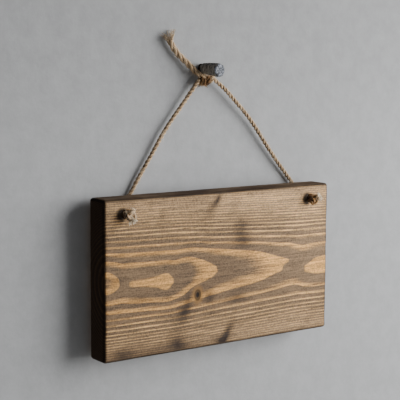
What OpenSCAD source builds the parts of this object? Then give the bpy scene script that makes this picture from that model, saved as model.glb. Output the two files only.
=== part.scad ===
// Wooden plaque that hangs from a nail by two jute cords.
// The nail's axis meets the plane of the wall at the origin. +Y runs into the wall, +Z is up,
// and the board's front faces -Y. All sizes are in millimetres and degrees.

/* [Board] */
// Width of the board
board_w = 214; // [180:1:260]
// Height of the board
board_h = 120; // [90:1:160]
// Thickness of the board
board_t = 20.5; // [16:0.5:28]
// Radius of the eased edges
edge_r = 1.5; // [0.5:0.5:3]
// How far the board's middle hangs to the right of the nail
board_shift = 4.5; // [0:0.5:8]
// Drop from the nail's axis to the board's top edge
hang_drop = 93; // [90:1:110]
// Gap between the board's back and the wall, where the cords lie
wall_gap = 4.5; // [4.5:0.5:8]

/* [Cord holes] */
// Diameter of each hole
hole_d = 7; // [5:0.5:9]
// Distance from a side edge to the hole's axis
hole_from_side = 19; // [12:1:30]
// Distance from the top edge to the hole's axis
hole_from_top = 11.5; // [9:0.5:16]
// Depth of the worn bevel at each mouth
hole_bevel = 1; // [0.5:0.25:1.5]

/* [Cords] */
// Diameter of each cord
cord_d = 3.4; // [3:0.1:4]
// Diameter of the two ends twisted together
tail_d = 5.4; // [4.5:0.1:6]
// Diameter of the knot in each front hole
stopper_d = 10.6; // [9:0.2:12]
// How far that knot stands out of the board
stopper_h = 11; // [8:0.5:13]
// How far that knot sits to the right of the hole
stopper_shift = 2; // [0:0.5:2.5]
// Diameter of the knot under the nail
knot_d = 8.6; // [8:0.2:9]
// Width of the knot under the nail
knot_w = 13.5; // [11:0.5:14]

/* [Nail] */
// Diameter of the shank in the wall
shank_d = 4.4; // [3:0.2:5]
// Straight length of the shank in the wall
shank_l = 22; // [15:1:40]
// Length of the shank's point
point_l = 6; // [4:1:10]
// How far the nail stands out of the wall
nail_proud = 25; // [18:1:32]
// Diameter of the body beside the cord
body_d = 7.6; // [6:0.2:7.8]
// Diameter of the end face
head_d = 10; // [8:0.5:12]
// How far the body sags, as an angle
nail_sag = 3; // [0:1:4]

/* [Hidden] */
$fn = 48;

wood = "#a98a62";
jute = "#c8a87c";
iron = "#3c3b39";

board_back = -wall_gap;
board_front = board_back - board_t;
board_top = -hang_drop;
hole_z = board_top - hole_from_top;
left_hole_x = board_shift - board_w / 2 + hole_from_side;
right_hole_x = board_shift + board_w / 2 - hole_from_side;
overcut = 1; // how far a cutter runs past the face that it cuts

tube_sides = 8;
tail_sides = 10;

neck_d = 3; // the nail's waist, inside the loop
neck_l = 3.8; // how far the waist runs out of the wall
loop_clearance = 0.25; // between the waist and the loop
loop_d = 2; // the cord is pulled thin where it goes round the nail
loop_y = -1.95; // the middle of the loop
loop_lean = 20; // how far the stretch from the loop down to the knot leans out from the wall
loop_drop = 6; // length of that stretch
knot_centre = [0.75, -5.6, -8.8];
knot_round = 2.5; // radius of the knot's ends
stopper_round = 3.5; // radius of the front knots' rims
head_bevel = 0.8; // chamfer round the nail's end face

// The cord through the left hole, from its front knot to just under the board's top edge.
left_back_route = [
    [left_hole_x, board_front, hole_z],
    [left_hole_x, -17, -104.3],
    [-83.4, -10, -103.7],
    [-82.8, -5.4, -102.7],
    [-80.6, -2.8, -100.8],
    [-76.8, -2.7, -98.4],
    [-71.6, -2.7, -96.4],
    [-67, -2.7, -94.2]
];
right_back_route = [
    [right_hole_x, board_front, hole_z],
    [right_hole_x, -17, -104.3],
    [92.6, -10, -103.7],
    [92.7, -5.4, -102.7],
    [93, -2.8, -100.2],
    [92.8, -2.7, -97.2],
    [91.7, -2.7, -94.2]
];
// The free cord from the knot under the nail down to just above the board's top edge.
left_leg_route = [
    [-8.2, -5.5, -12.4],
    [-12.5, -5.3, -17.7],
    [-18, -5.1, -24.4],
    [-24.2, -4.8, -32],
    [-30.4, -4.5, -39.5],
    [-36.2, -4.3, -47],
    [-41.4, -4, -54.8],
    [-46.4, -3.8, -62.8],
    [-51.6, -3.5, -70.6],
    [-56.4, -3.2, -78],
    [-61, -3, -85],
    [-65.1, -2.7, -91.8]
];
right_leg_route = [
    [9.6, -5.6, -8.9],
    [13.6, -5.6, -11.8],
    [19, -5.5, -15.7],
    [25.4, -5.3, -21.3],
    [32, -5.1, -27.3],
    [38.4, -4.9, -33.2],
    [45, -4.6, -39.8],
    [51, -4.3, -46.6],
    [57.2, -4, -54.2],
    [63.4, -3.8, -62],
    [70, -3.5, -69.8],
    [77, -3.2, -77.8],
    [83.6, -2.9, -84.8],
    [89.9, -2.7, -91.8]
];
// The two ends twisted together, from the knot up to where they fray.
tail_route = [
    [-1.5, -6, -7.6],
    [-6, -5.6, -5.2],
    [-10.4, -5, -1.2],
    [-15, -4.6, 3.4],
    [-19.8, -4.2, 7.4],
    [-24.6, -4, 11.6],
    [-28.6, -4, 16.4],
    [-31.4, -4, 21]
];
// The three frayed yarns, each from the end of the tail to its tip.
yarn_routes = [
    [[-30.2, -4, 21.7], [-30.6, -4, 25.6], [-30.2, -3.8, 29.4]],
    [[-32, -2.7, 20.6], [-33, -3.4, 24.6], [-33.2, -4, 28.4]],
    [[-32.1, -5.3, 20.5], [-34.8, -5.4, 22.8], [-37.2, -5, 25.4]]
];
yarn_d = 2.2;

function unit(v) = v / norm(v);

// The direction of a route at point i.
function heading(p, i) =
    unit((i == 0 ? p[1] - p[0] : unit(p[i] - p[i - 1]))
        + (i == len(p) - 1 ? [0, 0, 0] : unit(p[i + 1] - p[i])));

// One ring of n points round point i, square to the route. The seam is kept on the side that
// up leans to, so that the tube doesn't twist.
function ring(p, i, r, n, up) =
    let (
        t = heading(p, i),
        u = unit(up - (up * t) * t),
        v = cross(t, u)
    )
    [for (k = [0:n - 1]) p[i] + r * (cos(360 * k / n) * u + sin(360 * k / n) * v)];

// A closed tube of n sides along a route.
module tube(p, d, n, up) {
    last = len(p) - 1;
    points = [for (i = [0:last]) each ring(p, i, d / 2, n, up)];
    walls = [
        for (i = [0:last - 1])
        for (k = [0:n - 1])
        each [
            [i * n + k, i * n + (k + 1) % n, (i + 1) * n + (k + 1) % n],
            [i * n + k, (i + 1) * n + (k + 1) % n, (i + 1) * n + k]
        ]
    ];
    start = [[for (k = [n - 1:-1:0]) k]];
    end = [[for (k = [0:n - 1]) last * n + k]];
    polyhedron(points = points, faces = concat(start, walls, end), convexity = 4);
}

// A rectangle with round corners, centred.
module rounded_rect(w, h, r) {
    square([w - 2 * r, h], center = true);
    square([w, h - 2 * r], center = true);
    for (x = [-1, 1])
    for (y = [-1, 1])
    translate([x * (w / 2 - r), y * (h / 2 - r)])
    circle(r);
}

// A turned barrel with round ends, centred, its axis along Z.
module barrel(r, h, e) {
    rotate_extrude()
    difference() {
        union() {
            translate([0, -h / 2])
            square([r - e, h]);
            translate([0, e - h / 2])
            square([r, h - 2 * e]);
            for (s = [-1, 1])
            translate([r - e, s * (h / 2 - e)])
            circle(e);
        }
        translate([-2 * r, -h])
        square([2 * r, 2 * h]);
    }
}

// A drilled hole along Y with a worn bevel at both faces.
module cord_hole(x) {
    translate([x, board_back, hole_z])
    rotate([90, 0, 0]) {
        translate([0, 0, -overcut])
        cylinder(d = hole_d, h = board_t + 2 * overcut);
        translate([0, 0, -overcut])
        cylinder(d1 = hole_d + 2 * (hole_bevel + overcut), d2 = hole_d, h = hole_bevel + overcut);
        translate([0, 0, board_t - hole_bevel])
        cylinder(d1 = hole_d, d2 = hole_d + 2 * (hole_bevel + overcut), h = hole_bevel + overcut);
    }
}

// A knot that sits flat on the board's front over a hole.
module stopper_knot(x) {
    r = stopper_d / 2;
    translate([x + stopper_shift, board_front, hole_z])
    rotate([90, 0, 0])
    rotate_extrude()
    difference() {
        union() {
            square([r, stopper_h - stopper_round]);
            square([r - stopper_round, stopper_h]);
            translate([r - stopper_round, stopper_h - stopper_round])
            circle(stopper_round);
        }
        translate([-2 * r, -stopper_h])
        square([2 * r, 3 * stopper_h]);
        translate([-r, -stopper_h])
        square([3 * r, stopper_h]);
    }
}

module board() {
    color(wood)
    difference() {
        translate([board_shift, (board_back + board_front) / 2, board_top - board_h / 2])
        intersection() {
            rotate([90, 0, 0])
            linear_extrude(board_t, center = true)
            rounded_rect(board_w, board_h, edge_r);
            rotate([90, 0, 90])
            linear_extrude(board_w, center = true)
            rounded_rect(board_t, board_h, edge_r);
            linear_extrude(board_h, center = true)
            rounded_rect(board_w, board_t, edge_r);
        }
        cord_hole(left_hole_x);
        cord_hole(right_hole_x);
    }
}

module left_back_cord() {
    color(jute)
    tube(left_back_route, cord_d, tube_sides, [1, 0.3, -1]);
}

module right_back_cord() {
    color(jute)
    tube(right_back_route, cord_d, tube_sides, [1, 0.3, 0]);
}

module left_stopper_knot() {
    color(jute)
    stopper_knot(left_hole_x);
}

module right_stopper_knot() {
    color(jute)
    stopper_knot(right_hole_x);
}

module left_leg() {
    color(jute)
    tube(left_leg_route, cord_d, tube_sides, [0, 1, 0]);
}

module right_leg() {
    color(jute)
    tube(right_leg_route, cord_d, tube_sides, [0, 1, 0]);
}

module nail_loop() {
    loop_r = neck_d / 2 + loop_clearance + loop_d / 2;
    color(jute)
    translate([0, loop_y, 0])
    union() {
        rotate([90, 0, 0])
        rotate_extrude()
        translate([loop_r, 0])
        circle(d = loop_d);
        translate([0, 0, -loop_r])
        rotate([180 - loop_lean, 0, 0])
        cylinder(d = loop_d, h = loop_drop);
    }
}

module nail_knot() {
    color(jute)
    translate(knot_centre)
    rotate([0, 90, 0])
    barrel(knot_d / 2, knot_w, knot_round);
}

module cord_tail() {
    color(jute)
    tube(tail_route, tail_d, tail_sides, [0, 1, 0]);
}

module tail_yarns() {
    color(jute)
    for (route = yarn_routes)
    tube(route, yarn_d, tube_sides, [0, 1, 0]);
}

// The waist, shank and point lie along the nail's axis. The body outside the loop sags a little.
module nail() {
    body_l = nail_proud - neck_l;
    color(iron) {
        rotate([90, 0, 0])
        cylinder(d = neck_d, h = neck_l + overcut);
        rotate([-90, 0, 0])
        cylinder(d = shank_d, h = shank_l);
        translate([0, shank_l, 0])
        rotate([-90, 0, 0])
        cylinder(d1 = shank_d, d2 = 0.6, h = point_l);
        translate([0, -neck_l, 0])
        rotate([90 + nail_sag, 0, 0]) {
            cylinder(d1 = body_d, d2 = head_d, h = body_l - head_bevel);
            translate([0, 0, body_l - head_bevel])
            cylinder(d1 = head_d, d2 = head_d - 2 * head_bevel, h = head_bevel);
        }
    }
}

board();
left_back_cord();
right_back_cord();
left_stopper_knot();
right_stopper_knot();
left_leg();
right_leg();
nail_loop();
nail_knot();
cord_tail();
tail_yarns();
nail();
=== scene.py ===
"""The looks of a wooden plaque that hangs by jute cords from a rough nail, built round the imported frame.

y = 0 is the wall, -Y the way the board's front faces, +Z up, and the nail goes into the wall at the origin.
Lengths are in metres, except where a comment says millimetres.
"""
import math

import bmesh
import bpy
import numpy as np
from mathutils import Matrix, Vector


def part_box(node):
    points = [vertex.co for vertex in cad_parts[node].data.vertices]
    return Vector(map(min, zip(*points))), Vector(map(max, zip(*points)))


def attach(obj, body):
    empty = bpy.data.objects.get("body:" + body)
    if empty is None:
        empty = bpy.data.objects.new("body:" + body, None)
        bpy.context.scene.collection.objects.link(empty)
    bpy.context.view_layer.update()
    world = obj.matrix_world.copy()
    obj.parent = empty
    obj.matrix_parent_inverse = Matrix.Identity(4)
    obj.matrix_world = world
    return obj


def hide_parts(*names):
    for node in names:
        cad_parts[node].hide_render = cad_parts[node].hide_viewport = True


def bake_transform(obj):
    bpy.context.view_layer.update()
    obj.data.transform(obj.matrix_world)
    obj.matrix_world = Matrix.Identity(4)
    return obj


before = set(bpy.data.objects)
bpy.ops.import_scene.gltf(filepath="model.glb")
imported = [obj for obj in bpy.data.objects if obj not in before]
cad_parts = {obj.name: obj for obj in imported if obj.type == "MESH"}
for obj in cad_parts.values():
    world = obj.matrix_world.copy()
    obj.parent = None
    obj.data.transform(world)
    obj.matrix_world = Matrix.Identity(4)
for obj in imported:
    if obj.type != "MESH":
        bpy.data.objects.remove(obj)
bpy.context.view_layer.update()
MM = 0.001
RANDOM_SEED = 11

# ---------------------------------------------------------------- camera

CAMERA_AT = (-0.54145, -0.75012, 0.01193)
CAMERA_HEADING = 35.84  # degrees from +Y towards +X
CAMERA_DOWN = 7.03
CAMERA_ROLL = 0.34
CAMERA_LENS = 107.53


def make_camera():
    data = bpy.data.cameras.new("camera")
    data.lens = CAMERA_LENS
    data.sensor_width = 36
    camera = bpy.data.objects.new("camera", data)
    bpy.context.scene.collection.objects.link(camera)
    turn = Matrix.Rotation(math.radians(-CAMERA_HEADING), 4, "Z")
    tip = Matrix.Rotation(math.radians(90 - CAMERA_DOWN), 4, "X")
    roll = Matrix.Rotation(math.radians(CAMERA_ROLL), 4, "Z")
    camera.matrix_world = Matrix.Translation(CAMERA_AT) @ turn @ tip @ roll
    bpy.context.scene.camera = camera


make_camera()

# ---------------------------------------------------------------- lines and tubes

GROOVE_SHADE = 0.56  # how much darker the jute is in the groove between two strands
YARN_SHADE = 0.8  # how much darker it is in the furrow between two yarns of a strand
FIBRE_RUN = 40  # how fast the fibre pattern runs along a strand, for each metre


def unit(v):
    return v / np.maximum(np.linalg.norm(v, axis=-1, keepdims=True), 1e-12)


def along(line):
    """How far each point of a line is along it."""
    return np.concatenate([[0], np.cumsum(np.linalg.norm(np.diff(line, axis=0), axis=1))])


def curve_through(at, xs, ys):
    """A smooth curve through the values ys at the places xs, read off at other places."""
    xs, ys = np.array(xs, float), np.array(ys, float)
    slope = np.gradient(ys, xs, axis=0)
    i = np.clip(np.searchsorted(xs, at) - 1, 0, len(xs) - 2)
    h = xs[i + 1] - xs[i]
    t = (at - xs[i]) / h
    if ys.ndim == 2:
        h, t = h[:, None], t[:, None]
    return (
        (2 * t**3 - 3 * t**2 + 1) * ys[i]
        + (t**3 - 2 * t**2 + t) * h * slope[i]
        + (3 * t**2 - 2 * t**3) * ys[i + 1]
        + (t**3 - t**2) * h * slope[i + 1]
    )


def smooth_line(points, step):
    """A smooth line through the points, with a point every step."""
    points = np.array(points, float)
    s = along(points)
    at = np.linspace(0, s[-1], max(3, math.ceil(s[-1] / step) * 4))
    return even(curve_through(at, s, points), step)


def even(line, step):
    """The same line with points evenly spaced."""
    s = along(line)
    at = np.linspace(0, s[-1], max(3, math.ceil(s[-1] / step) + 1))
    return np.stack([np.interp(at, s, line[:, k]) for k in range(3)], axis=1)


def side_axes(line, first=(0.3, 1.0, 0.2)):
    """Two axes across a line at each point, which don't turn about it."""
    t = unit(np.gradient(line, axis=0))
    n = np.zeros_like(t)
    v = np.array(first, float)
    for i, d in enumerate(t):
        v = v - d * (v @ d)
        v = v / np.linalg.norm(v)
        n[i] = v
    return n, np.cross(t, n)


def helix(line, radius, pitch, phase):
    """A line that winds round another one, at one radius for each point."""
    n, b = side_axes(line)
    a = (along(line) / pitch * 2 * math.pi + phase)[:, None]
    return line + radius[:, None] * (np.cos(a) * n + np.sin(a) * b)


def ring_faces(rows, sides):
    """Quads between rings of points, and a fan at each end round the two points that follow the rings."""
    faces = []
    for i in range(rows - 1):
        for j in range(sides):
            k = (j + 1) % sides
            faces.append((i * sides + j, i * sides + k, (i + 1) * sides + k, (i + 1) * sides + j))
    last = (rows - 1) * sides
    faces += [((j + 1) % sides, j, rows * sides) for j in range(sides)]
    faces += [(last + j, last + (j + 1) % sides, rows * sides + 1) for j in range(sides)]
    return faces


class Shape:
    """Collects closed tubes, with a fibre coordinate and a darkening at each point, which holds random tone
    and painted shade, into one mesh.
    """

    def __init__(self):
        self.points, self.faces, self.fibre, self.tone_and_shade = [], [], [], []
        self.count = 0

    def tube(
        self, line, radius, sides, tone_and_shade, yarns=0, yarn_depth=0.0, yarn_pitch=6 * MM, seed=0.0, core=None
    ):
        """A closed tube along a line, with the ridges of its yarns winding round it.
        The radius is one number or one for each point. The surface gets painted shade in the furrows between
        the ridges, and where it comes near the core line, which lies between strands."""
        r = np.broadcast_to(np.asarray(radius, float), (len(line),))[:, None]
        n, b = side_axes(line)
        s = along(line)[:, None]
        a = np.linspace(0, 2 * math.pi, sides, endpoint=False)[None, :]
        twist = 2 * math.pi * s / yarn_pitch
        ridge = 1 + yarn_depth * np.cos(yarns * a + twist + seed)
        rings = line[:, None, :] + (r * ridge)[..., None] * (
            np.cos(a)[..., None] * n[:, None, :] + np.sin(a)[..., None] * b[:, None, :]
        )
        spin = a + twist / max(yarns, 1)
        run = np.broadcast_to(FIBRE_RUN * s + 7 * seed, spin.shape)
        fibre = np.stack([np.cos(spin), np.sin(spin), run], axis=-1).reshape(-1, 3)
        shade = np.full(len(line) * sides, tone_and_shade)
        if yarns:
            shade -= YARN_SHADE * (1 - ridge.reshape(-1) / (1 + yarn_depth))
        if core is not None:
            reach = np.linalg.norm(rings - core[:, None, :], axis=2)
            shade -= GROOVE_SHADE * np.clip(1 - reach / np.percentile(reach, 90), 0, 1).reshape(-1)
        self.points.append(np.concatenate([rings.reshape(-1, 3), line[[0, -1]]]))
        self.faces += [tuple(self.count + i for i in f) for f in ring_faces(len(line), sides)]
        self.fibre.append(np.concatenate([fibre, fibre[[0, -1]]]))
        self.tone_and_shade.append(np.concatenate([shade, [tone_and_shade, tone_and_shade]]))
        self.count += len(self.points[-1])

    def piece(self, name, material, body=None):
        mesh = bpy.data.meshes.new(name)
        mesh.from_pydata(np.concatenate(self.points).tolist(), [], self.faces)
        put(mesh, "fibre", np.concatenate(self.fibre), "FLOAT_VECTOR", "vector")
        put(mesh, "tone_and_shade", np.concatenate(self.tone_and_shade))
        return finish_piece(name, mesh, material, body)


def put(mesh, name, values, kind="FLOAT", field="value"):
    attribute = mesh.attributes.new(name, kind, "POINT")
    attribute.data.foreach_set(field, np.asarray(values, np.float32).ravel())


def finish_piece(name, mesh, material, body=None):
    """Links a mesh as a piece, with outward normals and smooth shading."""
    bm = bmesh.new()
    bm.from_mesh(mesh)
    bmesh.ops.recalc_face_normals(bm, faces=bm.faces)
    bm.to_mesh(mesh)
    bm.free()
    mesh.shade_smooth()
    mesh.materials.append(material)
    piece = bpy.data.objects.new(name, mesh)
    bpy.context.scene.collection.objects.link(piece)
    if body:
        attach(piece, body)
    return piece


# ---------------------------------------------------------------- node helpers


class Nodes:
    """A short way to write a node tree."""

    def __init__(self, name):
        self.material = bpy.data.materials.new(name)
        self.material.use_nodes = True
        self.tree = self.material.node_tree
        self.shader = self.tree.nodes["Principled BSDF"]
        self.output = self.tree.nodes["Material Output"]

    def link(self, value, socket):
        if isinstance(value, bpy.types.NodeSocket):
            self.tree.links.new(value, socket)
        else:
            socket.default_value = value

    def make(self, kind, inputs=(), out=0, **settings):
        node = self.tree.nodes.new(kind)
        for k, v in settings.items():
            setattr(node, k, v)
        for k, v in dict(inputs).items():
            self.link(v, node.inputs[k])
        return node.outputs[out]

    def attribute(self, name, vector=False):
        return self.make("ShaderNodeAttribute", out="Vector" if vector else "Fac", attribute_name=name)

    def place(self, scale):
        """Object coordinates, scaled along each axis."""
        at = self.make("ShaderNodeTexCoord", out="Object")
        return self.make("ShaderNodeMapping", {"Vector": at, "Scale": scale})

    def noise(self, vector, scale, detail=3.0, roughness=0.55):
        inputs = {"Vector": vector, "Scale": scale, "Detail": detail, "Roughness": roughness}
        return self.make("ShaderNodeTexNoise", inputs)

    def math(self, operation, a, b=0.0):
        return self.make("ShaderNodeMath", {0: a, 1: b}, operation=operation)

    def span(self, value, low, high, to_low=0.0, to_high=1.0):
        """A smooth step from to_low, where the value is low, to to_high, where it is high."""
        inputs = {0: value, 1: low, 2: high, 3: to_low, 4: to_high}
        return self.make("ShaderNodeMapRange", inputs, interpolation_type="SMOOTHSTEP")

    def mix(self, share, a, b, blend="MIX"):
        node = self.tree.nodes.new("ShaderNodeMix")
        node.data_type = "RGBA"
        node.blend_type = blend
        self.link(share, node.inputs[0])
        self.link(a, node.inputs[6])
        self.link(b, node.inputs[7])
        return node.outputs[2]

    def toward(self, colour, other, share, most=1.0):
        """The colour, turned towards another one. The share is multiplied by most."""
        return self.mix(self.math("MULTIPLY", share, most), colour, other)

    def dim(self, colour, factor):
        """The colour, darker or lighter by a factor."""
        grey = self.make("ShaderNodeCombineColor", {0: factor, 1: factor, 2: factor})
        return self.mix(1.0, colour, grey, "MULTIPLY")

    def bump(self, height, strength, distance):
        return self.make("ShaderNodeBump", {"Height": height, "Strength": strength, "Distance": distance})


def rgb(*levels):
    """A colour given as it looks on a screen, from 0 to 255, as a shader takes it."""
    shares = [level / 255 for level in levels]
    return tuple(v / 12.92 if v <= 0.04 else ((v + 0.055) / 1.055) ** 2.4 for v in shares) + (1.0,)


# ---------------------------------------------------------------- jute

CORD_D = 3.4 * MM
TAIL_D = 4.7 * MM
PLY_PITCH = 7.4 * MM  # the length in which a strand winds once round its cord
STRAND_OUT = 0.225  # a strand's distance from its cord's middle, as a share of the cord's diameter
STRAND_R = 0.285  # a strand's radius, as a share of the same
LINE_STEP = 0.45 * MM


def jute_material(name, deep, middle, bright):
    n = Nodes(name)
    fibre = n.attribute("fibre", vector=True)
    tone_and_shade = n.attribute("tone_and_shade")
    stretched = n.make("ShaderNodeMapping", {"Vector": fibre, "Scale": (7.0, 7.0, 1.6)})
    strands = n.noise(stretched, 1.0, 4.0, 0.62)
    broad = n.noise(n.place((1, 1, 1)), 210.0, 2.0)
    level = n.math("ADD", n.math("MULTIPLY", strands, 0.95), n.math("MULTIPLY", broad, 0.35))
    # The darkening adds random tone, and painted shade in the grooves between strands and yarns.
    level = n.math("ADD", level, tone_and_shade)
    low = n.mix(n.span(level, 0.30, 0.62), deep, middle)
    colour = n.mix(n.span(level, 0.62, 0.90), low, bright)
    n.link(colour, n.shader.inputs["Base Color"])
    n.shader.inputs["Roughness"].default_value = 0.85
    n.shader.inputs["Specular IOR Level"].default_value = 0.18
    n.shader.inputs["Sheen Weight"].default_value = 0.12
    n.shader.inputs["Sheen Roughness"].default_value = 0.5
    n.link(n.bump(strands, 0.8, 0.35 * MM), n.shader.inputs["Normal"])
    return n.material


JUTE = jute_material("jute_cord", rgb(88, 62, 40), rgb(206, 176, 138), rgb(250, 234, 208))
JUTE_KNOT = jute_material("jute_knot", rgb(60, 36, 16), rgb(202, 157, 104), rgb(250, 230, 196))
JUTE_FRONT = jute_material("jute_front_knot", rgb(66, 46, 26), rgb(216, 184, 144), rgb(254, 244, 224))
# A copy of the jute with painted shade, dark throughout, for the cords round the nail and inside its knot,
# which lie in shade.
JUTE_SHADED = jute_material("jute_painted_shade", rgb(26, 15, 6), rgb(70, 44, 20), rgb(128, 92, 54))
# A copy of the jute with lighter painted shade, for the knot's turns on the side away from the light.
JUTE_PAINTED_HALF_SHADE = jute_material("jute_knot_painted_half_shade", rgb(36, 22, 10), rgb(124, 88, 52), rgb(206, 168, 120))
JUTE_PALE = jute_material("jute_cut_ends", rgb(160, 124, 86), rgb(234, 208, 170), rgb(252, 240, 218))


def hair_line(base, direction, out, length, curl, rng, points=6):
    """A loose fibre that leaves a cord along direction and drifts outwards."""
    t = np.linspace(0, 1, points)[:, None]
    side = np.cross(direction, out)
    bend = side * rng.uniform(-curl, curl)
    return base + direction * length * t + out * length * 0.45 * t**1.7 + bend * length * t**2


def add_hair(shape, line, thick, thin, sides, tone_and_shade, rng):
    """One fibre, which tapers from its root to its tip. Its radii are in millimetres."""
    shape.tube(line, np.linspace(thick, thin, len(line)) * MM, sides, tone_and_shade, seed=rng.uniform(0, 9))


def add_fuzz(shape, line, rng, count, length, reach, radius=CORD_D / 2, tone_and_shade=0.1):
    """Loose fibres along a cord, each lifting off its surface but staying within reach of the line."""
    n, b = side_axes(line)
    t = unit(np.gradient(line, axis=0))
    for _ in range(count):
        i = rng.integers(2, len(line) - 3)
        a = rng.uniform(0, 2 * math.pi)
        out = n[i] * math.cos(a) + b[i] * math.sin(a)
        way = t[i] * rng.choice([-1.0, 1.0])
        long = length * rng.uniform(0.4, 1.0)
        hair = hair_line(line[i] + out * radius * 0.8, way, out, long, 0.35, rng)
        away = np.linalg.norm(hair[:, None, :] - line[None, ::3, :], axis=2).min(axis=1)
        hair = hair[away < reach]
        if len(hair) > 2:
            add_hair(shape, hair, 0.075, 0.03, 3, tone_and_shade + rng.uniform(-0.1, 0.25), rng)


def add_cord(shape, line, rng, cord_d=CORD_D, pitch=PLY_PITCH, phase=0.0, sides=14, plies=2, taper=1.0):
    """A laid cord: its strands wind round each other, and each has the ridges of its yarns."""
    width = cord_d * np.broadcast_to(taper, (len(line),))
    for k in range(plies):
        ply = helix(line, STRAND_OUT * width, pitch, phase + 2 * math.pi * k / plies)
        worn = 1 + 0.05 * np.sin(along(ply) / (5.3 * MM) + 2 * k + phase)
        radius = STRAND_R * width * worn
        shape.tube(ply, radius, sides, 0.0, 5, 0.07, -4.2 * MM, rng.uniform(0, 6), core=line)


# The routes of the cord stretches, as the CAD model's tubes follow them.
LEFT_LEG = [
    (-0.0082, -0.0055, -0.0124), (-0.0125, -0.0053, -0.0177), (-0.018, -0.0051, -0.0244),
    (-0.0242, -0.0048, -0.032), (-0.0304, -0.0045, -0.0395), (-0.0362, -0.0043, -0.047),
    (-0.0414, -0.004, -0.0548), (-0.0464, -0.0038, -0.0628), (-0.0516, -0.0035, -0.0706),
    (-0.0564, -0.0032, -0.078), (-0.061, -0.003, -0.085), (-0.0651, -0.0027, -0.0918),
]
LEFT_BACK = [
    (-0.067, -0.0027, -0.0942), (-0.0716, -0.0027, -0.0964), (-0.0768, -0.0027, -0.0984),
    (-0.0806, -0.0028, -0.1008), (-0.0828, -0.0054, -0.1027), (-0.0834, -0.010, -0.1037),
    (-0.0835, -0.017, -0.1043), (-0.0835, -0.025, -0.1045),
]
RIGHT_LEG = [
    (0.0096, -0.0056, -0.0089), (0.0136, -0.0056, -0.0118), (0.019, -0.0055, -0.0157),
    (0.0254, -0.0053, -0.0213), (0.032, -0.0051, -0.0273), (0.0384, -0.0049, -0.0332),
    (0.045, -0.0046, -0.0398), (0.051, -0.0043, -0.0466), (0.0572, -0.004, -0.0542),
    (0.0634, -0.0038, -0.062), (0.07, -0.0035, -0.0698), (0.077, -0.0032, -0.0778),
    (0.0836, -0.0029, -0.0848), (0.0899, -0.0027, -0.0918),
]
RIGHT_BACK = [
    (0.0917, -0.0027, -0.0942), (0.0928, -0.0027, -0.0972), (0.093, -0.0028, -0.1002),
    (0.0927, -0.0054, -0.1027), (0.0926, -0.010, -0.1037), (0.0925, -0.017, -0.1043),
    (0.0925, -0.025, -0.1045),
]
TAIL = [
    (-0.001, -0.0062, -0.0062), (-0.006, -0.0057, -0.0042), (-0.0104, -0.005, -0.0008),
    (-0.015, -0.0046, 0.0034), (-0.0198, -0.0042, 0.0074), (-0.0246, -0.004, 0.0116),
    (-0.0286, -0.004, 0.0164), (-0.0314, -0.004, 0.021),
]
TAIL_ROOT = (0.0046, -0.0068, -0.0072)  # inside the knot
TAIL_FRAY_R = 2.0 * MM
TAIL_TOP = 29.2 * MM  # no fibre of the tail's tip stands higher
LOOP_R = 2.75 * MM  # the turn of cord round the nail's waist, to the cord's middle
LOOP_Y = -1.95 * MM
LOOP_D = 2.0 * MM
KNOT_AT = np.array((0.75, -5.6, -8.8)) * MM  # the middle of the knot under the nail


def make_cord(name, leg, back, rng):
    """One cord from the knot under the nail, over the board's top edge, to its stopper knot."""
    first, second = np.array(leg[0]), np.array(leg[1])
    path = smooth_line([first + (first - second) * 0.7, *leg, *back], LINE_STEP)
    shape = Shape()
    add_cord(shape, path, rng)
    add_fuzz(shape, path, rng, 130, 7 * MM, 3.6 * MM)
    piece = shape.piece(name, JUTE)
    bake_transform(piece)
    return piece


# ---------------------------------------------------------------- knots

HOLE_XS = (-0.0835, 0.0925)
HOLE_Z = -0.1045
FRONT_Y = -0.025
STOPPER_OUT = 5.0 * MM  # from the board's front to the middle of a stopper knot
CUT_END_R = 1.7 * MM

# Each stopper knot: its hole, how far to the right of the hole it sits and its size, both in millimetres,
# how far it is turned about the hole in radians, the way its cut end points, and its material.
STOPPERS = {
    "left_stopper": (HOLE_XS[0], 0.4, 3.9, 0.4, (0.1, -0.55, 0.4), JUTE_FRONT),
    "right_stopper": (HOLE_XS[1], -1.0, 3.1, 2.3, (0.3, 0.3, 0.55), JUTE_KNOT),
}
# The turns that bind the knot under the nail: middle and reach in millimetres, tilt and twist in radians.
KNOT_WRAPS = [
    ("right", (4.9, -5.8, -8.2), 3.0, 0.55, 0.3, JUTE),
    # The middle and left turns take the jute with painted shade, on the side away from the light.
    ("middle", (1.6, -5.7, -8.9), 3.1, 0.25, 1.4, JUTE_PAINTED_HALF_SHADE),
    ("left", (-2.6, -5.6, -9.4), 2.6, -0.35, 2.2, JUTE_PAINTED_HALF_SHADE),
]


def trefoil(t, radius, depth):
    """The run of an overhand knot: across, up and out of the page."""
    across = (np.sin(t) + 2 * np.sin(2 * t)) / 3 * radius
    up = (np.cos(t) - 2 * np.cos(2 * t)) / 3 * radius
    out = -np.sin(3 * t) * depth
    return np.stack([across, up, out], axis=1)


def stopper_line(hole_x, shift, size, turn, tail_way):
    """The cord's line out of its hole, round a stopper knot and on to its cut end."""
    loops = trefoil(np.linspace(0.35, 0.35 + 1.86 * math.pi, 26), size * MM, 1.7 * MM)
    c, s = math.cos(turn), math.sin(turn)
    across = loops[:, 0] * c - loops[:, 1] * s
    up = loops[:, 0] * s + loops[:, 1] * c
    knot = np.stack([across + shift * MM, up, loops[:, 2] + STOPPER_OUT], axis=1)
    lead = np.array([(0, 0, -5.0), (0, 0, -1.2), (0.1, 0.1, 1.6)]) * MM
    tail = np.array([knot[-1] + np.array(tail_way) * k * MM for k in (2.0, 4.2)])
    local = smooth_line(np.concatenate([lead, knot, tail]), LINE_STEP)
    origin = np.array((hole_x, FRONT_Y, HOLE_Z))
    return origin + np.stack([local[:, 0], -local[:, 2], local[:, 1]], axis=1)


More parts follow.
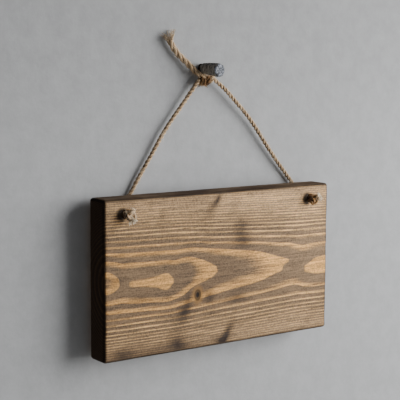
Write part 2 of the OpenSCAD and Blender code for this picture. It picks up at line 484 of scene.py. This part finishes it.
def make_stopper(name, rng):
    """An overhand knot against the board's front, with its cut end frayed."""
    *place, material = STOPPERS[name]
    line = stopper_line(*place)
    shape = Shape()
    add_cord(shape, line, rng, pitch=8 * MM)
    add_fuzz(shape, line, rng, 120, 5 * MM, 3.2 * MM, tone_and_shade=0.15)
    # Painted shade: the strands are darkened on the knot's left, away from the light, and where they go into
    # the hole.
    for points, shade in zip(shape.points, shape.tone_and_shade):
        left_of_hole = (place[0] - 0.8 * MM - points[:, 0]) / (3 * MM)
        into_hole = (points[:, 1] - FRONT_Y + 3 * MM) / (4 * MM)
        shade -= 0.4 * np.clip(left_of_hole + into_hole, 0, 1)
    knot = shape.piece(name, material, "plaque")
    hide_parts(name + "_knot")
    fray = Shape()
    way = unit(line[-1] - line[-6])
    n, b = side_axes(line)
    for _ in range(110):
        a, r = rng.uniform(0, 2 * math.pi), math.sqrt(rng.uniform(0, 1)) * CUT_END_R
        out_way = n[-1] * math.cos(a) + b[-1] * math.sin(a)
        base = line[-5] + out_way * r - way * 0.5 * MM
        hair = hair_line(base, way, out_way, rng.uniform(2.4, 4.6) * MM, 0.6, rng)
        add_hair(fray, hair, 0.27, 0.14, 5, rng.uniform(-0.1, 0.4), rng)
    fray_piece = fray.piece(name + "_cut_end", JUTE_PALE, "plaque")
    fray_piece.parent = knot
    return knot


def knot_strand_line(side):
    """The line of one of the two loops inside the knot under the nail. side is -1 or 1."""
    loops = trefoil(np.linspace(0.2, 0.2 + 2 * math.pi, 40), 3.0 * MM, 1.5 * MM)
    across = 1.35 * loops[:, 0] + 0.5 * side * MM
    forward = 0.8 * side * MM - loops[:, 2]
    up = 0.8 * loops[:, 1] + 0.4 * side * MM
    return smooth_line(KNOT_AT + np.stack([across, forward, up], axis=1), LINE_STEP)


def wrap_line(middle, reach, tilt):
    """The line of a turn that binds the knot, tilted about the way the nail points."""
    a = np.linspace(0, 2 * math.pi, 60)
    ring = np.stack([0.0 * a, reach * np.cos(a), reach * 0.92 * np.sin(a)], axis=1)
    c, s = math.cos(tilt), math.sin(tilt)
    ring = ring @ np.array(((c, 0, s), (0, 1, 0), (-s, 0, c))).T * MM
    return even(np.array(middle) * MM + ring, LINE_STEP)


def make_knot_tuft(rng):
    """A tuft of fibres at the foot of the knot under the nail."""
    tuft = Shape()
    foot = KNOT_AT + np.array((-2.6, -0.8, -1.6)) * MM
    for _ in range(150):
        across, deep = rng.uniform(-3.4, 3.0) * MM, rng.uniform(-1.6, 1.6) * MM
        out_way = np.array((across / (6 * MM), deep / (3 * MM), 0.0))
        base = foot + (across, deep, rng.uniform(-0.5, 0.8) * MM)
        hair = hair_line(base, np.array((-0.1, -0.1, -1.0)), out_way, rng.uniform(1.6, 4.0) * MM, 0.7, rng)
        add_hair(tuft, hair, 0.16, 0.07, 4, rng.uniform(-0.3, 0.2), rng)
    tuft.piece("nail_knot_tuft", JUTE_KNOT, "hanger")


def make_nail_knot(rng):
    """Both cords tied in one knot under the nail."""
    heart = Shape()
    for side in (-1, 1):
        line = knot_strand_line(side)
        add_cord(heart, line, rng, cord_d=3.0 * MM)
        add_fuzz(heart, line, rng, 90, 5 * MM, 3.4 * MM)
    # The knot's inner strands take the jute with painted shade.
    knot = heart.piece("nail_knot_strands", JUTE_SHADED, "hanger")
    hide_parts("nail_knot")
    for side, middle, reach, tilt, phase, material in KNOT_WRAPS:
        line = wrap_line(middle, reach, tilt)
        wrap = Shape()
        add_cord(wrap, line, rng, phase=phase)
        add_fuzz(wrap, line, rng, 50, 4 * MM, 3.2 * MM)
        wrap.piece("nail_knot_turn_" + side, material, "hanger")
    make_knot_tuft(rng)


def make_nail_loop(rng):
    """The turn of cord round the nail's waist, and the stretch from it down to the knot."""
    a = np.linspace(-math.pi / 2, 1.5 * math.pi, 90)
    ring = np.stack([LOOP_R * np.cos(a), np.full_like(a, LOOP_Y), LOOP_R * np.sin(a)], axis=1)
    shape = Shape()
    add_cord(shape, even(ring, LINE_STEP / 2), rng, cord_d=LOOP_D, pitch=5.8 * MM)
    foot = np.array((0, LOOP_Y, -LOOP_R))
    for side in (-0.5, 0.5):
        drop = smooth_line([foot + (side * MM, 0, 0.3 * MM), (foot + KNOT_AT) / 2, KNOT_AT], LINE_STEP / 2)
        add_cord(shape, drop, rng, cord_d=LOOP_D, pitch=5.8 * MM)
    # The turn round the nail takes the jute with painted shade.
    piece = shape.piece("nail_turn", JUTE_SHADED, "hanger")
    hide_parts("nail_loop")


def make_tail_fray(line, rng):
    """The frayed yarns at the tail's tip."""
    fray = Shape()
    n, b = side_axes(line)
    way = unit(line[-1] - line[-8])
    for _ in range(120):
        a, r = rng.uniform(0, 2 * math.pi), math.sqrt(rng.uniform(0, 1)) * TAIL_FRAY_R
        out_way = n[-1] * math.cos(a) + b[-1] * math.sin(a)
        up_way = unit(way + np.array((0.25, 0.0, 0.5)) * rng.uniform(0, 1))
        hair = hair_line(line[-6] + out_way * r, up_way, out_way, rng.uniform(4, 10) * MM, 0.4, rng, 8)
        hair[:, 2] = np.minimum(hair[:, 2], TAIL_TOP)
        add_hair(fray, hair, 0.2, 0.08, 4, rng.uniform(-0.25, 0.25), rng)
    piece = fray.piece("tail_fray", JUTE, "hanger")
    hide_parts("tail_yarns")
    return piece


def make_tail(rng):
    """Both cord ends twisted together, slimmer where they leave the knot."""
    line = smooth_line([TAIL_ROOT, *TAIL], LINE_STEP)
    shape = Shape()
    slim = np.clip(0.84 + along(line) / (150 * MM), 0, 1)
    add_cord(shape, line, rng, cord_d=TAIL_D, pitch=19 * MM, phase=0.6, sides=18, plies=3, taper=slim)
    add_fuzz(shape, line, rng, 110, 8 * MM, 5.0 * MM, TAIL_D / 2)
    fray = make_tail_fray(line, rng)
    piece = shape.piece("tail_twist", JUTE, "hanger")
    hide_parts("cord_tail")


def make_cords():
    rng = np.random.default_rng(RANDOM_SEED)
    left_knot = make_stopper("left_stopper", rng)
    right_knot = make_stopper("right_stopper", rng)
    left = make_cord("left_cord", LEFT_LEG, LEFT_BACK, rng)
    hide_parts("left_leg", "left_back_cord")
    right = make_cord("right_cord", RIGHT_LEG, RIGHT_BACK, rng)
    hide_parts("right_leg", "right_back_cord")
    make_nail_knot(rng)
    make_nail_loop(rng)
    make_tail(rng)


make_cords()

# ---------------------------------------------------------------- board

# In this section and the nail's, lengths are in millimetres until a mesh is made.

EDGE_R = 2.3
HOLE_R = 3.5
HOLE_BEVEL = 1.0
HOLE_SHADE_LEFT = 3.6  # how far to the left of a hole the painted shadow of its knot and the painted shade of its mouth are darkest
HOLE_PAD = 7.5  # half the side of the square round a hole that its own rings of quads fill
BOARD_STEP = 1.2

# The rings cut by the front: a ring value grows as the square of the distance from the heart line of the
# figure. This is that line: how far along the board, the value there, and the height there.
HEART = [
    (-104, -330, -153.4), (-97, -305, -154), (-91, -268, -154.6), (-87.5, -240, -155.1), (-84, -244, -155.4),
    (-80, -259, -155.8), (-74, -263, -156.2), (-66, -266, -156.6), (-56, -276, -157.2), (-47, -291, -157.6),
    (-40, -248, -157.2), (-34, -236, -155.5), (-28, -205, -154), (-20, -119, -152.8), (-10, -56, -153.2),
    (1, 0, -153.6), (15, 60, -154), (30, 112, -154.6), (45, 178, -155), (60, 254, -155),
    (71, 303, -154.6), (79, 322, -156.6), (86, 303, -159.6), (94, 262, -160), (112, 232, -159.6),
]
# Far above and below it the rings run calmer: how far along, and the value on their middle line.
OUTER_VALUES = [(-104, -176), (-66, -168), (-36, -148), (-6, -22), (37, 96), (77, 196), (112, 204)]
OUTER_FROM = 8  # how far from the heart line they start
OUTER_OVER = 22  # and the distance in which they take over
OUTER_MIDDLE = -156.3
OUTER_SLOPE = -0.0165
# The values at which one ring ends and the next starts, and the step between them further out.
RING_VALUES = [-700, -480, -250, 0, 300, 560, 815, 1060, 1285, 1480, 1670]
OUTER_RING = 185
FIRST_RING = -3
PITH_AHEAD = 15.0  # how far in front of the face the middle of the rings lies
# Where growth swelled or shrank: along, height, reach along, reach up, change of the ring value.
SWELLS = [
    (-100, -154, 7, 6, -60), (-26, -165, 6, 4, 40), (70, -158, 5, 1.8, 34), (64, -161.5, 5, 2, -14),
    (66, -152.5, 8, 2, -22), (88, -154.5, 6, 3, 34), (88, -163.5, 4, 2.6, -20),
]
# Darker blots in the stain: along, height, reach along, reach up, slant, strength.
SMUDGES = [
    (-92, -155, 6, 6, 0, 0.4), (-88, -208, 12, 6, 0, 0.5), (-82, -140, 5, 1.5, 0, 0.4),
    (-72, -168, 9, 4, 0, 0.3), (-62, -99, 3, 2, 0, 0.4), (-52, -108, 3, 9, 0.1, 0.35),
    (-50, -211, 60, 8, 0, 0.55), (-38, -205, 9, 7, 0, 0.55), (-32, -184, 6.5, 9, 0.25, 0.95),
    (-28, -174, 3, 8, 0, 0.5), (-8, -174, 4.5, 5.5, 0, 0.75), (-6, -105, 5, 8, 0.6, 0.6),
    (0, -98, 2.2, 5, 0.5, 0.6), (3, -210, 6, 4, 0, 0.8), (9, -204, 4.2, 7, 0.55, 1.1),
    (14, -108, 5, 6, 0.4, 0.3), (18, -178, 9, 4, 0, 0.6), (22, -124, 7.5, 9, 0.1, 0.66),
    (25, -134, 8, 5, 0, 0.5), (51, -198, 1.6, 0.7, 0, 0.9),
]
KNOT_X = -19.3
KNOT_Z = -171.0
KNOT_RX = 3.3
KNOT_RZ = 4.6
KNOT_LEAN = -1.13  # how much the branch drops for each millimetre into the board


def smooth_step(t):
    t = np.clip(t, 0, 1)
    return t * t * (3 - 2 * t)


def ring_number(x, depth, z):
    """The growth ring, counted outwards, at a place in the board. depth is how far behind the front."""
    along_heart, heart_value, heart_height = np.array(HEART).T
    value = curve_through(x, along_heart, heart_value)
    middle = curve_through(x, along_heart, heart_height)
    outer = smooth_step((np.abs(z - middle) - OUTER_FROM) / OUTER_OVER)
    middle = middle + outer * (OUTER_MIDDLE + OUTER_SLOPE * x - middle)
    value = value + outer * (curve_through(x, *np.array(OUTER_VALUES).T) - value)
    up = z - middle
    value = value + up**2 + depth * (2 * PITH_AHEAD + depth)
    for sx, sz, rx, rz, change in SWELLS:
        value = value + change * np.exp(-(((x - sx) / rx) ** 2) - ((z - sz) / rz) ** 2 - (depth / 6) ** 2)
    value = value + 6 * np.sin(x / 17 + z / 9) * np.clip(np.abs(up) / 20, 0, 1)
    rings = RING_VALUES + [RING_VALUES[-1] + OUTER_RING * (k + 1) for k in range(40)]
    return np.interp(value, rings, np.arange(len(rings)) + float(FIRST_RING))


def knot_distance(x, depth, z):
    """How far a place is from the branch knot's middle, 1 at the knot's rim."""
    return np.hypot((x - KNOT_X) / KNOT_RX, (z - KNOT_Z - KNOT_LEAN * depth) / KNOT_RZ)


def smudge_at(x, z):
    """How strongly the stain is blotted at a place on the front."""
    total = np.zeros_like(x)
    for sx, sz, rx, rz, slant, strength in SMUDGES:
        across = (x - sx - slant * (z - sz)) / rx
        total = total + strength * np.exp(-(across**2) - ((z - sz) / rz) ** 2)
    return np.clip(total, 0, 1.2)


def ripple(p, size, seed, waves=7):
    """A smooth uneven value, about -1 to 1, over places p, whose swells are about size long."""
    rng = np.random.default_rng(seed)
    total = np.zeros(len(p))
    for _ in range(waves):
        way = unit(rng.normal(size=3)) * rng.uniform(0.6, 1.6)
        total += np.sin(p @ way * 2 * math.pi / size + rng.uniform(0, 2 * math.pi))
    return total / math.sqrt(waves)


def stops(marks):
    """Grid lines through the marks, with close ones where the edges at both ends are rounded."""
    lo, hi = marks[0], marks[-1]
    inner = [lo + EDGE_R, *marks[1:-1], hi - EDGE_R]
    close = np.array([0.0, 0.14, 0.32, 0.55, 0.78]) * EDGE_R
    lines = [lo + c for c in close] + [hi - c for c in close]
    for a, b in zip(inner, inner[1:]):
        lines += np.linspace(a, b, max(1, round((b - a) / BOARD_STEP)) + 1).tolist()
    return np.unique(np.round(lines, 6))


class BoardMesh:
    """The board as quads: a closed box of grids, with a round hole through it for each cord."""

    def __init__(self):
        lo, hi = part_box("board")
        self.lo, self.hi = np.array(lo) / MM, np.array(hi) / MM
        self.index, self.points, self.faces, self.outside = {}, [], [], []
        self.build()

    def at(self, p, outside=True):
        key = tuple(np.round(p, 4))
        if key not in self.index:
            self.index[key] = len(self.points)
            self.points.append(key)
            self.outside.append(outside)
        return self.index[key]

    def build(self):
        holes_x = [h / MM + d for h in HOLE_XS for d in (-HOLE_PAD, HOLE_PAD)]
        holes_z = [HOLE_Z / MM + d for d in (-HOLE_PAD, HOLE_PAD)]
        marks = [(self.lo[k], *inner, self.hi[k]) for k, inner in enumerate((holes_x, [], holes_z))]
        grids = [stops(m) for m in marks]
        for axis in range(3):
            for side in (self.lo[axis], self.hi[axis]):
                self.add_side(axis, side, grids)
        for hole_x in HOLE_XS:
            self.add_hole(hole_x / MM, HOLE_Z / MM, grids[0], grids[2])

    def add_side(self, axis, side, grids):
        """One of the six sides, as a grid. The front and the back leave a square gap at each hole."""
        u, v = [k for k in range(3) if k != axis]
        for a0, a1 in zip(grids[u], grids[u][1:]):
            for b0, b1 in zip(grids[v], grids[v][1:]):
                if axis == 1 and self.in_gap((a0 + a1) / 2, (b0 + b1) / 2):
                    continue
                corners = []
                for a, b in ((a0, b0), (a1, b0), (a1, b1), (a0, b1)):
                    p = [0.0, 0.0, 0.0]
                    p[axis], p[u], p[v] = side, a, b
                    corners.append(self.at(p))
                self.faces.append(corners)

    def in_gap(self, x, z):
        return any(abs(x - h / MM) < HOLE_PAD and abs(z - HOLE_Z / MM) < HOLE_PAD for h in HOLE_XS)

    def add_hole(self, cx, cz, xs, zs):
        """Rings of quads from the front's square gap, down the hole, to the back's square gap."""
        row = [x for x in xs if abs(x - cx) <= HOLE_PAD + 1e-6]
        column = [z for z in zs if abs(z - cz) <= HOLE_PAD + 1e-6]
        square = [(x, column[0]) for x in row[:-1]] + [(row[-1], z) for z in column[:-1]]
        square += [(x, column[-1]) for x in row[:0:-1]] + [(row[0], z) for z in column[:0:-1]]
        square = np.array(square)
        middle = np.array((cx, cz))
        spoke = unit(square - middle)
        thick = self.hi[1] - self.lo[1]
        rounding = [(1.0, 0), (0.62, 0.1), (0.3, 0.35), (0.08, 0.75), (0, 1.3)]
        mouth = [(HOLE_R + wide * HOLE_BEVEL, deep) for wide, deep in rounding]
        profile = mouth + [(HOLE_R, d) for d in np.linspace(3, thick - 3, 9)]
        profile += [(a, thick - b) for a, b in reversed(mouth)]
        rim = middle + spoke * (HOLE_R + HOLE_BEVEL)
        front = [square + (rim - square) * t for t in (0.35, 0.68, 0.88)]
        loops = [(square, 0)] + [(f, 0) for f in front]
        loops += [(middle + spoke * a, d) for a, d in profile]
        loops += [(f, thick) for f in reversed(front)] + [(square, thick)]
        rows = [[self.at((p[0], self.lo[1] + d, p[1]), d in (0, thick)) for p in loop] for loop, d in loops]
        for one, two in zip(rows, rows[1:]):
            for i in range(len(one)):
                j = (i + 1) % len(one)
                self.faces.append([one[i], one[j], two[j], two[i]])


def worn_points(built):
    """The board's points once its edges are rounded and worn, and how near each is to an edge, 0 to 1."""
    p = np.array(built.points, float)
    outside = np.array(built.outside)
    inner = np.clip(p, built.lo + EDGE_R, built.hi - EDGE_R)
    off = p - inner
    at_rim = (np.abs(off) > 1e-6).any(axis=1)
    near_edge = np.clip(np.sort(np.abs(off), axis=1)[:, 1] / EDGE_R, 0, 1)
    p = np.where((outside & at_rim)[:, None], inner + unit(off) * EDGE_R, p)
    wear = near_edge * (0.16 + 0.16 * ripple(p, 17, 3) + 0.08 * ripple(p, 5, 4))
    sag = 0.05 * np.abs(ripple(p * (0.4, 1, 1), 30, 5)) * at_rim
    p = p - unit(off) * ((np.clip(wear, 0, 0.45) + sag) * outside)[:, None]
    return p, near_edge * outside


def make_board(material):
    built = BoardMesh()
    outside = np.array(built.outside)
    p, near_edge = worn_points(built)
    x, z = p[:, 0], p[:, 2]
    depth = p[:, 1] - built.lo[1]
    dent = np.exp(-(((x - KNOT_X - 0.4) / 0.9) ** 2) - ((z - KNOT_Z) / 2.8) ** 2) * (depth < 1)
    p[:, 1] += dent * 0.5
    mesh = bpy.data.meshes.new("board_wood")
    mesh.from_pydata((p * MM).tolist(), [], built.faces)
    from_end = np.minimum(x - built.lo[0], built.hi[0] - x)
    from_side = np.minimum(z - built.lo[2], built.hi[2] - z)
    # Painted shadow round each hole, centred a little to its left, where its knot's shadow falls.
    shades = [h / MM - HOLE_SHADE_LEFT for h in HOLE_XS]
    from_painted_hole_shadow = np.minimum(*[np.hypot((x - shade) / 0.9, z - HOLE_Z / MM) for shade in shades])
    # Painted light: lighter towards the right and the top, the side of the key lamp, with a slow random
    # swell in the tone.
    painted_light_share = 0.16 + 0.5 * (x - 4.5) / 107 + 0.45 * (z + 153) / 60 + 0.15 * ripple(p, 60, 8)
    put(mesh, "ring", ring_number(x, depth, z))
    put(mesh, "smudge", smudge_at(x, z) * np.exp(-depth / 6))
    put(mesh, "knot", knot_distance(x, depth, z))
    put(mesh, "edge", near_edge)
    put(mesh, "endgrain", np.clip(1.4 * (1 - from_end / EDGE_R) - 0.1, 0, 1) * outside)
    put(mesh, "topside", np.clip(1 - from_side / EDGE_R, 0, 1))
    put(mesh, "border", np.exp(-np.clip(np.minimum(from_end, from_side), 0, None) / 2.2))
    put(mesh, "hole", from_painted_hole_shadow)
    put(mesh, "painted_light", np.clip(painted_light_share, 0, 1))
    piece = finish_piece("board_wood", mesh, material, "plaque")
    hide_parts("board")


def ring_colours(n, fine):
    """Dark early wood that turns to bright late wood in each ring, and how late each place is, 0 to 1."""
    ring = n.attribute("ring")
    middle = n.noise(n.place((9, 160, 330)), 1.0, 3.0, 0.55)
    broad = n.noise(n.place((9, 30, 22)), 1.0, 3.0, 0.5)
    wobble = n.math("MULTIPLY", n.math("SUBTRACT", middle, 0.5), 0.10)
    phase = n.math("FRACT", n.math("ADD", ring, wobble))
    feather = n.math("ADD", phase, n.math("MULTIPLY", n.math("SUBTRACT", fine, 0.5), 0.5))
    outer = n.span(ring, 4.0, 14.0)
    narrower = n.math("ADD", n.math("MULTIPLY", outer, 0.04), n.span(ring, 0.9, 1.3, 0.0, 0.13))
    rise = n.span(n.math("SUBTRACT", feather, narrower), 0.38, 0.82)
    drop = n.span(phase, 0.995, 0.945)
    late = n.math("MULTIPLY", n.math("MULTIPLY", rise, drop), n.span(outer, 0.0, 1.0, 1.0, 0.98))
    early = n.mix(broad, rgb(99, 80, 61), rgb(140, 115, 87))
    early = n.toward(early, rgb(180, 150, 116), outer, 0.46)
    bright = n.mix(fine, rgb(186, 134, 73), rgb(227, 175, 108))
    bright = n.mix(n.span(ring, 0.8, 4.0, 0.0, 0.6), bright, rgb(224, 183, 128))
    return n.mix(late, early, bright), late


def add_streaks(n, colour, fine, pores):
    """Fine streaks, pores and specks, over wood with painted light, lighter towards the right and the top.
    """
    colour = n.dim(colour, n.span(n.attribute("painted_light"), 0.0, 1.0, 0.965, 1.42))
    streak = n.math("ADD", n.span(fine, 0.32, 0.68, 0.66, 1.2), n.span(pores, 0.54, 0.74, 0.08, -0.30))
    speck = n.noise(n.place((1, 1, 1)), 850.0, 2.0, 0.6)
    return n.dim(colour, n.math("ADD", streak, n.span(speck, 0.3, 0.7, -0.27, 0.27)))


def add_blots(n, colour, patchy):
    """Blots in the stain, and the branch knot with its halo and crack."""
    blot = n.math("MULTIPLY", n.attribute("smudge"), n.span(patchy, 0.25, 0.65, 0.85, 1.3))
    colour = n.toward(colour, rgb(42, 33, 28), blot, 0.84)
    knot = n.attribute("knot")
    colour = n.toward(colour, rgb(150, 110, 60), n.span(knot, 2.1, 1.1), 0.6)
    colour = n.toward(colour, rgb(74, 54, 28), n.span(knot, 1.15, 0.8), 0.9)
    crack = n.span(n.math("ADD", knot, n.math("MULTIPLY", patchy, 0.3)), 0.72, 0.5)
    return n.mix(crack, colour, rgb(28, 18, 10))


def add_edges(n, colour, late, patchy):
    """The long sides and the end grain, the dark of the edges, and the painted shadow round the holes."""
    side = n.mix(n.math("MULTIPLY", late, 0.4), rgb(135, 115, 93), rgb(184, 161, 130))
    colour = n.toward(colour, side, n.attribute("topside"), 0.8)
    border = n.math("MULTIPLY", n.attribute("border"), n.span(patchy, 0.3, 0.7, 0.35, 0.95))
    colour = n.mix(border, colour, rgb(66, 44, 26))
    grain_end = n.mix(n.math("MULTIPLY", late, 0.5), rgb(54, 37, 23), rgb(94, 70, 46))
    colour = n.mix(n.attribute("endgrain"), colour, grain_end)
    # Every rounded edge is darkened almost to black, unevenly.
    dark_rim = n.math("MULTIPLY", n.math("POWER", n.attribute("edge"), 0.6), n.span(patchy, 0.3, 0.7, 0.75, 1.0))
    colour = n.mix(dark_rim, colour, rgb(26, 16, 8))
    # Painted shadow: near black round each hole and to its left, for the knot's shadow and the hole's dark
    # mouth.
    return n.toward(colour, rgb(20, 12, 6), n.span(n.attribute("hole"), 6.4, 3.2), 0.9)


def wood_material():
    n = Nodes("stained_pine")
    fine = n.noise(n.place((42, 500, 1050)), 1.0, 4.0, 0.62)
    pores = n.noise(n.place((170, 1500, 2600)), 1.0, 2.0, 0.5)
    patchy = n.noise(n.place((28, 60, 90)), 1.0, 3.0, 0.6)
    colour, late = ring_colours(n, fine)
    colour = add_streaks(n, colour, fine, pores)
    colour = add_blots(n, colour, patchy)
    colour = add_edges(n, colour, late, patchy)
    n.link(colour, n.shader.inputs["Base Color"])
    n.link(n.span(fine, 0.3, 0.7, 0.66, 0.84), n.shader.inputs["Roughness"])
    n.shader.inputs["Specular IOR Level"].default_value = 0.22
    height = n.math("ADD", n.math("MULTIPLY", late, 0.8), n.math("MULTIPLY", fine, 0.7))
    height = n.math("ADD", height, n.math("MULTIPLY", pores, 0.35))
    n.link(n.bump(height, 0.55, 0.22 * MM), n.shader.inputs["Normal"])
    return n.material


make_board(wood_material())

# ---------------------------------------------------------------- nail

SHANK_R = 2.2
NECK_R = 1.5
NECK_L = 3.8
BODY_R = (3.8, 5.0)  # next to the waist, and at the end
BODY_L = 21.2
BODY_END = -NECK_L - BODY_L
SAG = math.radians(3)
NAIL_SIDES = 56


def nail_profile():
    """The nail's outline from its point in the wall to the middle of its end: y and radius."""
    profile = [(28, 0.3), (26, 0.95), (24, 1.55), (22, SHANK_R), (12, SHANK_R), (1, SHANK_R), (0, NECK_R)]
    profile += [(0.2 - NECK_L, NECK_R), (-NECK_L, 2.6), (-NECK_L - 0.25, BODY_R[0] - 0.35)]
    for t in np.linspace(0.03, 1, 26):
        profile.append((-NECK_L - t * (BODY_L - 1.0), BODY_R[0] + (BODY_R[1] - BODY_R[0]) * t**0.9))
    profile += [(BODY_END + 0.55, 4.95), (BODY_END + 0.25, 4.7), (BODY_END + 0.08, 4.35)]
    profile += [(BODY_END, r) for r in (3.6, 2.7, 1.8, 0.9)]
    return profile


def hammered(p):
    """The nail's points with the flats, swells and pits of forging on its body, and which are on its end."""
    body = p[:, 1] < -NECK_L
    end = p[:, 1] < BODY_END + 0.3
    a = np.arctan2(p[:, 2], p[:, 0])
    flats = 1 + 0.035 * np.cos(7 * a + 0.4) + 0.02 * np.cos(11 * a + p[:, 1] * 0.12)
    flat = p * np.stack([0.96 * flats, np.ones(len(p)), 1.02 * flats], axis=1)
    p = np.where(body[:, None], flat, p)
    swell = 0.14 * ripple(p * (1, 0.35, 1), 3.4, 21) + 0.08 * ripple(p * (1, 0.25, 1), 1.3, 22)
    pits = 0.12 * ripple(p, 2.2, 23) + 0.10 * ripple(p, 0.9, 24)
    p = p + unit(p * (1, 0, 1)) * (swell * body * ~end)[:, None]
    p[:, 1] += (pits - 0.1) * end
    return p, end


def make_nail(material):
    """A rough forged nail: its point and shank in the wall, a waist for the cord, and a flared body."""
    profile = nail_profile()
    a = np.linspace(0, 2 * math.pi, NAIL_SIDES, endpoint=False)
    rings = [np.stack([r * np.cos(a), np.full(NAIL_SIDES, y), r * np.sin(a)], axis=1) for y, r in profile]
    straight = np.concatenate(rings)
    p, end = hammered(straight)
    c, s = math.cos(SAG), math.sin(SAG)
    y, z = p[:, 1] + NECK_L, p[:, 2]
    sagged = np.stack([p[:, 0], y * c - NECK_L, z * c + y * s], axis=1)
    p = np.where(straight[:, 1:2] < -NECK_L, sagged, p)
    middles = np.array([(0, profile[0][0], 0), (0, BODY_END, -BODY_L * s)])
    mesh = bpy.data.meshes.new("nail_iron")
    mesh.from_pydata((np.concatenate([p, middles]) * MM).tolist(), [], ring_faces(len(profile), NAIL_SIDES))
    put(mesh, "face", np.concatenate([end, [0, 1]]))
    piece = finish_piece("nail_iron", mesh, material, "nail")
    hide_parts("nail")


def iron_material():
    n = Nodes("forged_iron")
    face = n.attribute("face")
    streaks = n.noise(n.place((300, 900, 300)), 1.0, 4.0, 0.6)
    specks = n.noise(n.place((1, 1, 1)), 1500.0, 4.0, 0.65)
    scale = n.noise(n.place((1, 1, 1)), 420.0, 3.0, 0.55)
    side = n.mix(n.span(streaks, 0.35, 0.68), rgb(80, 79, 75), rgb(210, 207, 197))
    grit = n.mix(n.span(specks, 0.44, 0.60), rgb(44, 46, 52), rgb(138, 144, 156))
    grit = n.mix(n.span(scale, 0.42, 0.52, 0.9, 0.0), grit, rgb(26, 26, 30))
    colour = n.mix(face, side, grit)
    n.link(colour, n.shader.inputs["Base Color"])
    n.shader.inputs["Metallic"].default_value = 0.15
    n.link(n.span(streaks, 0.3, 0.7, 0.42, 0.68), n.shader.inputs["Roughness"])
    height = n.math("ADD", streaks, n.math("MULTIPLY", specks, 0.6))
    n.link(n.bump(height, 0.7, 0.35 * MM), n.shader.inputs["Normal"])
    return n.material


make_nail(iron_material())

# ---------------------------------------------------------------- studio

FLOOR_Z = -0.36
WALL_SIZE = 3.0
LIGHT_AIM = (0.0, -0.02, -0.12)
# Each light's place, size and power.
LIGHTS = {
    "key": ((1.10, -0.85, 0.14), 1.4, 44),
    "fill": ((0.7, -1.4, -0.6), 1.0, 2.2),
    "rear": ((0.7, 1.3, -0.2), 1.2, 2.5),
}


def plane(name, corners, material):
    mesh = bpy.data.meshes.new(name)
    mesh.from_pydata(corners, [], [(0, 1, 2, 3)])
    mesh.materials.append(material)
    obj = bpy.data.objects.new(name, mesh)
    bpy.context.scene.collection.objects.link(obj)
    return obj


def paint(name, colour, one_sided=False):
    """Matt paint, a little uneven, with painted shade that darkens it higher up. One-sided paint isn't seen
    from behind.
    """
    n = Nodes(name)
    grain = n.noise(n.place((1, 1, 1)), 70.0, 6.0, 0.68)
    height = n.make("ShaderNodeSeparateXYZ", {0: n.make("ShaderNodeTexCoord", out="Object")}, out="Z")
    shade = n.math("ADD", n.span(grain, 0.3, 0.7, 0.0, 0.16), n.span(height, -0.12, 0.08, 0.0, 0.27))
    n.link(n.mix(shade, colour, rgb(108, 108, 108)), n.shader.inputs["Base Color"])
    n.shader.inputs["Roughness"].default_value = 0.95
    n.shader.inputs["Specular IOR Level"].default_value = 0.1
    n.link(n.bump(grain, 0.3, 1.5 * MM), n.shader.inputs["Normal"])
    if one_sided:
        back = n.make("ShaderNodeNewGeometry", out="Backfacing")
        clear = n.make("ShaderNodeBsdfTransparent")
        both = n.make("ShaderNodeMixShader", {0: back, 1: n.shader.outputs[0], 2: clear})
        n.link(both, n.output.inputs["Surface"])
    return n.material


def make_stage():
    """A wall at y = 0, which is there only to be looked at, and a floor."""
    s = WALL_SIZE
    wall_corners = [(-s, 0, FLOOR_Z), (s, 0, FLOOR_Z), (s, 0, s), (-s, 0, s)]
    wall = plane("wall", wall_corners, paint("wall_paint", rgb(178, 179, 180), one_sided=True))
    wall.visible_shadow = False
    wall.visible_diffuse = False
    wall.visible_glossy = False
    floor_corners = [(-s, -s, FLOOR_Z), (s, -s, FLOOR_Z), (s, s, FLOOR_Z), (-s, s, FLOOR_Z)]
    plane("floor", floor_corners, paint("floor_paint", rgb(205, 204, 202)))


def area_light(name, at, size, power):
    data = bpy.data.lights.new(name, "AREA")
    data.shape = "DISK"
    data.size = size
    data.energy = power
    light = bpy.data.objects.new(name, data)
    bpy.context.scene.collection.objects.link(light)
    light.location = at
    light.rotation_mode = "QUATERNION"
    light.rotation_quaternion = (Vector(LIGHT_AIM) - Vector(at)).to_track_quat("-Z", "Y")


def make_lights():
    for name, (at, size, power) in LIGHTS.items():
        area_light(name, at, size, power)
    world = bpy.data.worlds.new("studio")
    world.use_nodes = True
    world.node_tree.nodes["Background"].inputs["Color"].default_value = (0.9, 0.93, 1.0, 1.0)
    world.node_tree.nodes["Background"].inputs["Strength"].default_value = 0.09
    bpy.context.scene.world = world


make_stage()
make_lights()
